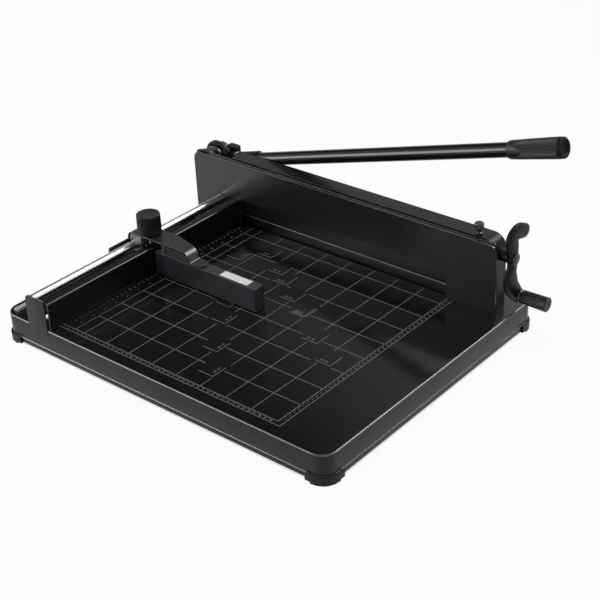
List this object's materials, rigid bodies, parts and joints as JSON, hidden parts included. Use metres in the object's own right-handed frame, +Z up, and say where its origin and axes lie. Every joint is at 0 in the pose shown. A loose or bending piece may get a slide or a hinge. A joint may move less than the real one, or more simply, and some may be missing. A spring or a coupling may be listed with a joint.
{
  "type": "guillotine paper cutter",
  "caption": "Black desktop guillotine for stacks of paper, with a long lever on the left, a screw press worked by a small crank, a gridded table, a side fence and a sliding back stop",
  "frame": {"origin": "Middle of the outline's footprint, on the ground under the feet", "axes": "+X along the housing towards the crank and the end of the lever, +Y from the operator's front edge towards the housing at the back, +Z up"},
  "size_m": [0.73, 0.5416, 0.3501],
  "materials": {
    "black_enamel": "glossy black enamel",
    "black_coat": "satin black powder coat",
    "black_cast": "black painted casting",
    "black_plastic": "matte black moulding",
    "white_plastic": "matte white stick",
    "chrome": "bright plated",
    "cast_zinc": "tumbled light metal",
    "steel": "ground steel",
    "bronze": "machined bearing bronze"
  },
  "bodies": {
    "base": {"base_tray": "black_enamel", "lower_frame": "black_coat", "foot_front_left": "black_plastic", "foot_front_right": "black_plastic", "foot_back_left": "black_plastic", "foot_back_right": "black_plastic", "side_fence": "black_coat", "guide_rod": "chrome", "front_plate": "black_coat", "rear_plate": "black_coat", "housing_cover": "black_coat", "cover_screw_left": "steel", "cover_screw_right": "steel", "left_block": "black_cast", "right_block": "black_cast", "cutting_stick": "white_plastic", "stick_channel": "black_coat", "clamp_post_left": "steel", "clamp_post_right": "steel", "spindle_bush": "chrome", "pivot_bolt": "steel", "pivot_nut": "cast_zinc", "pivot_bracket": "black_coat", "link_bolt": "steel"},
    "carriage": {"carriage_saddle": "black_coat", "guide_block": "cast_zinc", "stop_block": "black_plastic", "stop_screw_left": "steel", "stop_screw_right": "steel", "spacer_sleeve": "chrome", "clamp_nut": "steel"},
    "knob": {"lock_knob": "black_plastic", "knob_stud": "steel"},
    "clamp": {"clamp_bar": "black_coat", "clamp_pin_left": "steel", "clamp_pin_right": "steel"},
    "draw": {"draw_bar": "steel", "spindle_nut": "bronze"},
    "crank": {"crank_spindle": "steel", "crank_arm": "black_cast", "crank_screw": "chrome", "grip_washer": "chrome", "grip_pin": "steel"},
    "grip": {"crank_grip": "black_plastic"},
    "lock_screw": {"spindle_lock_screw": "steel"},
    "lever": {"lever_arm": "black_cast", "arm_bolt_upper": "chrome", "arm_bolt_lower": "chrome", "hub_bush": "bronze", "lever_tube": "black_enamel", "lever_grip": "black_plastic", "grip_end_cap": "black_plastic", "drive_pin": "steel"},
    "blade_group": {"blade_carrier": "steel", "blade": "steel", "blade_screw_left": "steel", "blade_screw_middle": "steel", "blade_screw_right": "steel"},
    "link": {"swing_link": "black_coat", "link_pin": "steel"}
  },
  "joints": [
    {"name": "lever_pivot", "type": "hinge", "parent": "base", "child": "lever", "pos_m": [-0.3357, 0.2393, 0.149], "axis": [0, -1, 0], "range_deg": [0, 50]},
    {"name": "blade_swing", "type": "hinge", "parent": "lever", "child": "blade_group", "pos_m": [-0.29328, 0.2393, 0.09844], "axis": [0, -1, 0], "range_deg": [-50, 0]},
    {"name": "link_swing", "type": "hinge", "parent": "base", "child": "link", "pos_m": [0.1759, 0.2393, 0.149], "axis": [0, -1, 0], "range_deg": [0, 50]},
    {"name": "crank_turn", "type": "hinge", "parent": "base", "child": "crank", "pos_m": [0.3036, 0.2015, 0.1495], "axis": [1, 0, 0], "range_deg": [0, 1800]},
    {"name": "clamp_lift", "type": "slide", "parent": "base", "child": "clamp", "axis": [0, 0, 1], "range_m": [0, 0.04]},
    {"name": "draw_slide", "type": "slide", "parent": "base", "child": "draw", "axis": [1, 0, 0], "range_m": [0, 0.04]},
    {"name": "grip_spin", "type": "hinge", "parent": "crank", "child": "grip", "pos_m": [0.3107, 0.2235, 0.074], "axis": [1, 0, 0], "continuous": true},
    {"name": "lock_turn", "type": "hinge", "parent": "base", "child": "lock_screw", "pos_m": [0.2418, 0.2015, 0.173], "axis": [0, 0, 1], "range_deg": [0, 180]},
    {"name": "stop_slide", "type": "slide", "parent": "base", "child": "carriage", "axis": [0, 1, 0], "range_m": [-0.18, 0.175]},
    {"name": "knob_turn", "type": "hinge", "parent": "carriage", "child": "knob", "pos_m": [-0.2707, -0.015, 0.114], "axis": [0, 0, 1], "range_deg": [0, 180]}
  ],
  "couplings": [
    {"joint": "blade_swing", "follows": "lever_pivot", "ratio": -1},
    {"joint": "link_swing", "follows": "lever_pivot", "ratio": 1},
    {"joint": "clamp_lift", "follows": "crank_turn", "m_per_rad": 0.0012732},
    {"joint": "draw_slide", "follows": "crank_turn", "m_per_rad": 0.0012732}
  ]
}
